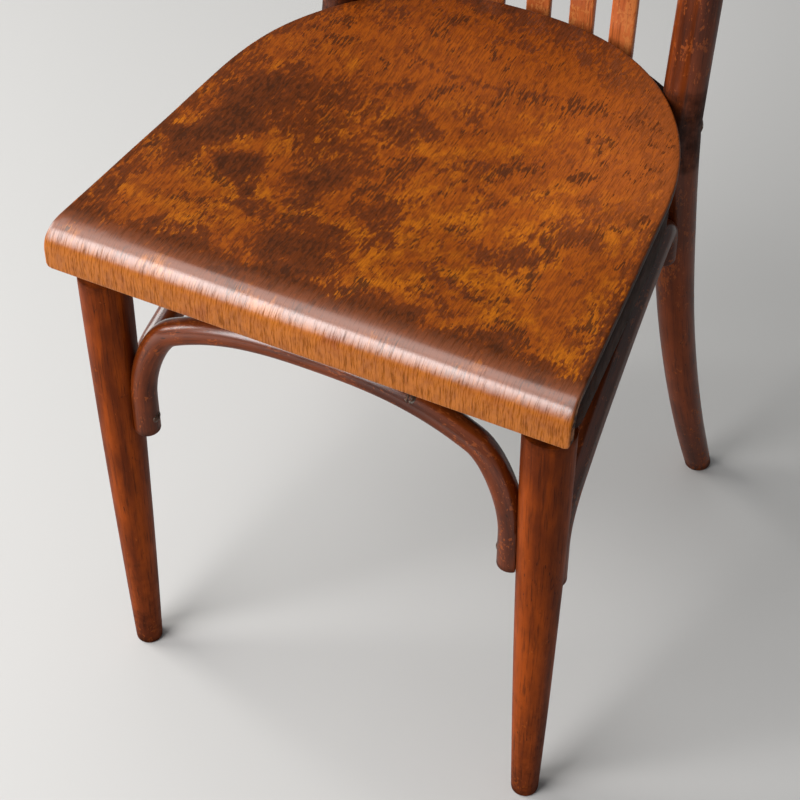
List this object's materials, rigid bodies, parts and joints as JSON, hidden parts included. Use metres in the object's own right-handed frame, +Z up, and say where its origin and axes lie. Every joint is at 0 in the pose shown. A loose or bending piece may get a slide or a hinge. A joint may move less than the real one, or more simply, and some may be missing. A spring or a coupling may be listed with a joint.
{
  "type": "bentwood side chair",
  "caption": "Old bentwood dining chair with a dished plywood seat, rolled front edge, arched rod braces and a rounded slatted back; its varnish is worn and crazed.",
  "frame": {"origin": "on the floor, under the middle of the chair's outer size", "axes": "+Z up, +Y from the front of the seat towards the back, +X to the right seen from the front"},
  "size_m": [0.388, 0.424, 0.8744],
  "materials": {
    "veneer": "orange-brown veneer, its varnish worn through in patches and crazed",
    "ring_wood": "very dark brown varnish, dull and dirty",
    "hoop_wood": "red-brown varnish, glossy, rubbed thin on edges",
    "steel": "dull, darkened by age"
  },
  "bodies": {
    "root": {"seat_panel": "veneer", "seat_ring": "ring_wood", "corner_block_left": "ring_wood", "corner_block_right": "ring_wood", "back_rail": "ring_wood", "back_hoop": "hoop_wood", "back_slat_1": "hoop_wood", "back_slat_2": "hoop_wood", "back_slat_3": "hoop_wood", "back_slat_4": "hoop_wood", "back_slat_5": "hoop_wood", "front_leg_left": "hoop_wood", "front_leg_right": "hoop_wood", "front_brace": "hoop_wood", "side_brace_left": "hoop_wood", "side_brace_right": "hoop_wood", "front_brace_screw_left": "steel", "front_brace_screw_right": "steel", "front_brace_top_screw": "steel", "front_brace_repair_screw": "steel", "side_brace_front_screw_left": "steel", "side_brace_front_screw_right": "steel", "side_brace_rear_screw_left": "steel", "side_brace_rear_screw_right": "steel", "rear_bolt_left": "steel", "rear_bolt_right": "steel", "rear_nut_left": "steel", "rear_nut_right": "steel"}
  },
  "joints": []
}
